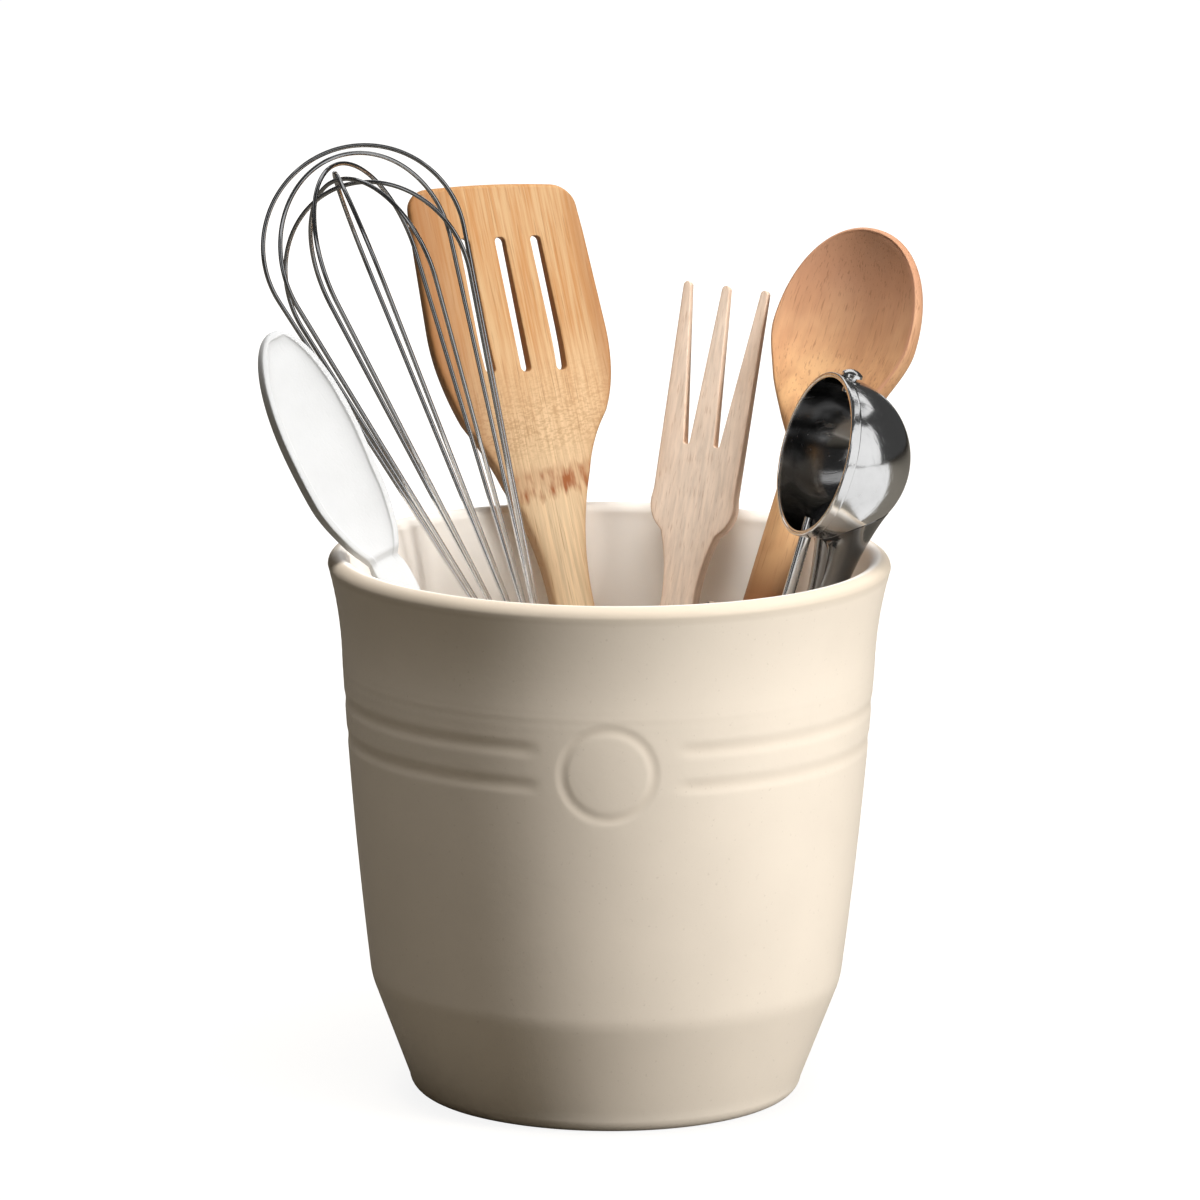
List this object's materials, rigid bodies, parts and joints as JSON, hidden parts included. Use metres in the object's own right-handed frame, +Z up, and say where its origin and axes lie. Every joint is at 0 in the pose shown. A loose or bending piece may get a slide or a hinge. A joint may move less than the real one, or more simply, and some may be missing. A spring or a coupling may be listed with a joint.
{
  "type": "utensil crock",
  "caption": "Glazed stoneware crock with a flared lip and pressed band, holding loose kitchen utensils: spoons, a slotted turner, a fork, a balloon whisk and a thumb-push scoop.",
  "frame": {"origin": "centre of the crock's flat base, on the surface it stands on", "axes": "+Z up along the crock's axis, -Y the side with the pressed medallion that the picture shows, +X to the picture's right"},
  "size_m": [0.1903, 0.166, 0.2685],
  "materials": {
    "cream_glaze": "glossy cream glaze",
    "white_plastic": "smooth white",
    "spoon_wood": "oiled reddish brown wood",
    "bamboo": "pale bamboo",
    "beech": "pale beech",
    "whisk_steel": "satin stainless",
    "whisk_wire": "polished wire",
    "whisk_plug": "sealing plug",
    "scoop_chrome": "polished",
    "scoop_gear": "plain steel"
  },
  "bodies": {
    "crock": {"crock": "cream_glaze"},
    "white_spoon": {"white_spoon": "white_plastic"},
    "wooden_spoon": {"wooden_spoon": "spoon_wood"},
    "turner": {"turner": "bamboo"},
    "fork": {"fork": "beech"},
    "whisk": {"whisk_handle": "whisk_steel", "whisk_plug": "whisk_plug", "whisk_wire_1": "whisk_wire", "whisk_wire_2": "whisk_wire", "whisk_wire_3": "whisk_wire", "whisk_wire_4": "whisk_wire", "whisk_wire_5": "whisk_wire", "whisk_wire_6": "whisk_wire", "whisk_end_cap": "whisk_steel", "whisk_hanging_loop": "whisk_wire"},
    "scoop": {"scoop_bowl": "scoop_chrome", "scoop_frame": "scoop_chrome", "scoop_handle": "scoop_chrome", "scoop_end_cap": "scoop_chrome", "scoop_gear_cover": "scoop_chrome", "scoop_cover_screw_1": "scoop_gear", "scoop_cover_screw_2": "scoop_gear", "scoop_return_spring": "scoop_gear"},
    "scoop_thumb_push": {"scoop_rack": "scoop_gear", "scoop_thumb_pad": "scoop_chrome"},
    "scoop_sweeper": {"scoop_sweeper": "scoop_chrome", "scoop_spindle": "scoop_chrome", "scoop_top_pivot": "scoop_chrome", "scoop_pinion": "scoop_gear"}
  },
  "joints": [
    {"name": "white_spoon_lift", "type": "slide", "parent": "crock", "child": "white_spoon", "axis": [-0.4313, 0.0846, 0.8982], "range_m": [0, 0.17]},
    {"name": "wooden_spoon_lift", "type": "slide", "parent": "crock", "child": "wooden_spoon", "axis": [0.2868, 0.3112, 0.906], "range_m": [0, 0.17]},
    {"name": "turner_lift", "type": "slide", "parent": "crock", "child": "turner", "axis": [-0.2098, 0.1578, 0.9649], "range_m": [0, 0.17]},
    {"name": "fork_lift", "type": "slide", "parent": "crock", "child": "fork", "axis": [0.148, 0.2446, 0.9583], "range_m": [0, 0.17]},
    {"name": "whisk_lift", "type": "slide", "parent": "crock", "child": "whisk", "axis": [-0.3746, 0.0571, 0.9254], "range_m": [0, 0.17]},
    {"name": "scoop_lift", "type": "slide", "parent": "crock", "child": "scoop", "axis": [0.2664, 0.0457, 0.9628], "range_m": [0, 0.17]},
    {"name": "thumb_push", "type": "slide", "parent": "scoop", "child": "scoop_thumb_push", "axis": [0.3416, -0.9385, -0.05], "range_m": [0, 0.0122], "stiffness_N_per_m": 150, "springref_m": -0.008, "deforming": ["scoop_return_spring"]},
    {"name": "sweeper_turn", "type": "hinge", "parent": "scoop", "child": "scoop_sweeper", "pos_m": [0.06172, -0.0074, 0.1855], "axis": [0.2664, 0.0457, 0.9628], "range_deg": [0, 175.25]}
  ],
  "couplings": [
    {"joint": "sweeper_turn", "follows": "thumb_push", "rad_per_m": 250}
  ]
}
